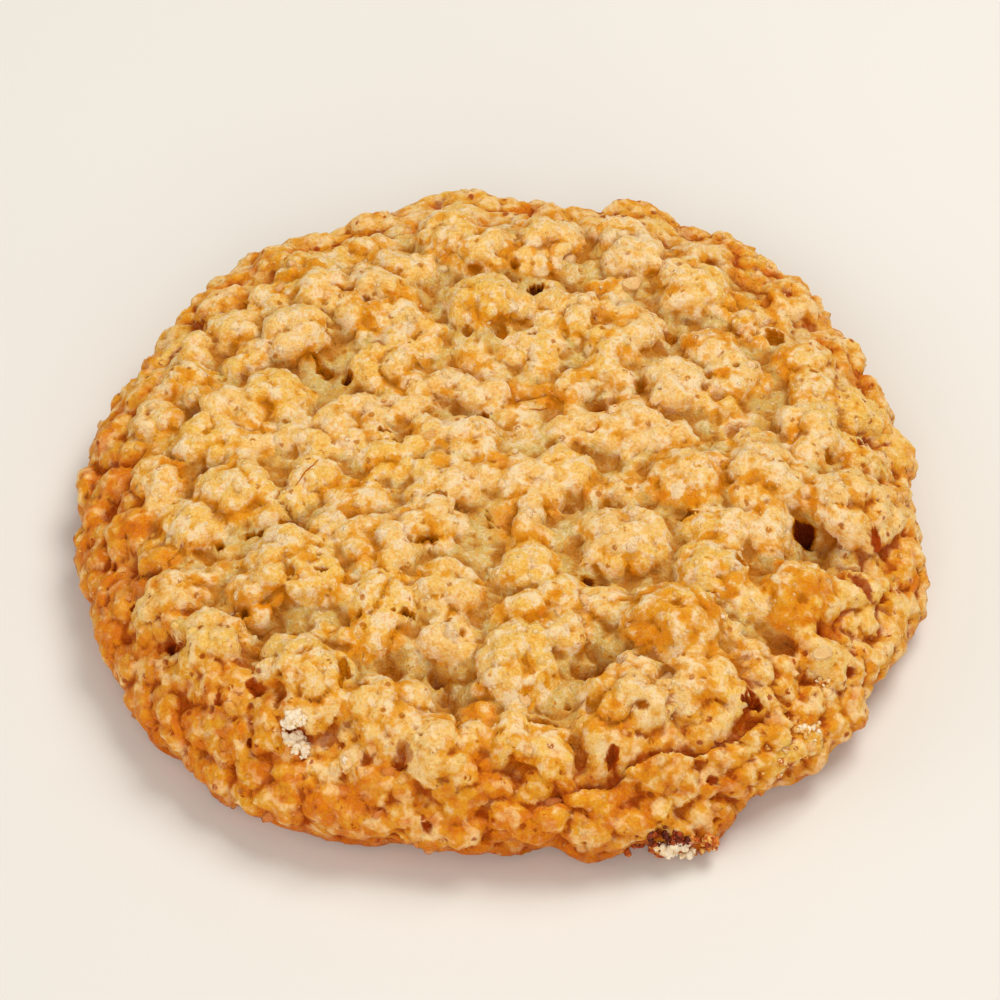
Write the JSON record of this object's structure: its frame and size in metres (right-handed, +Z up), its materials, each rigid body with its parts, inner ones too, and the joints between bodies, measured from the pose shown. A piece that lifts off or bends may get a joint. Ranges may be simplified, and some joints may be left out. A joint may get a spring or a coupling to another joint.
{
  "type": "oatmeal cookie",
  "caption": "Round soft-baked oatmeal cookie, 10 cm across, domed, with a lumpy golden top, small pits and a browned rim, resting on its flat underside.",
  "frame": {"origin": "middle of the flat underside, on the surface that the cookie rests on", "axes": "+Z up out of the top, +X to the right and -Y towards the viewer"},
  "size_m": [0.1024, 0.1016, 0.018],
  "materials": {
    "crust": "rough baked oat dough, cream to golden brown, slightly glossy on the high points"
  },
  "bodies": {
    "root": {"cookie": "crust"}
  },
  "joints": []
}
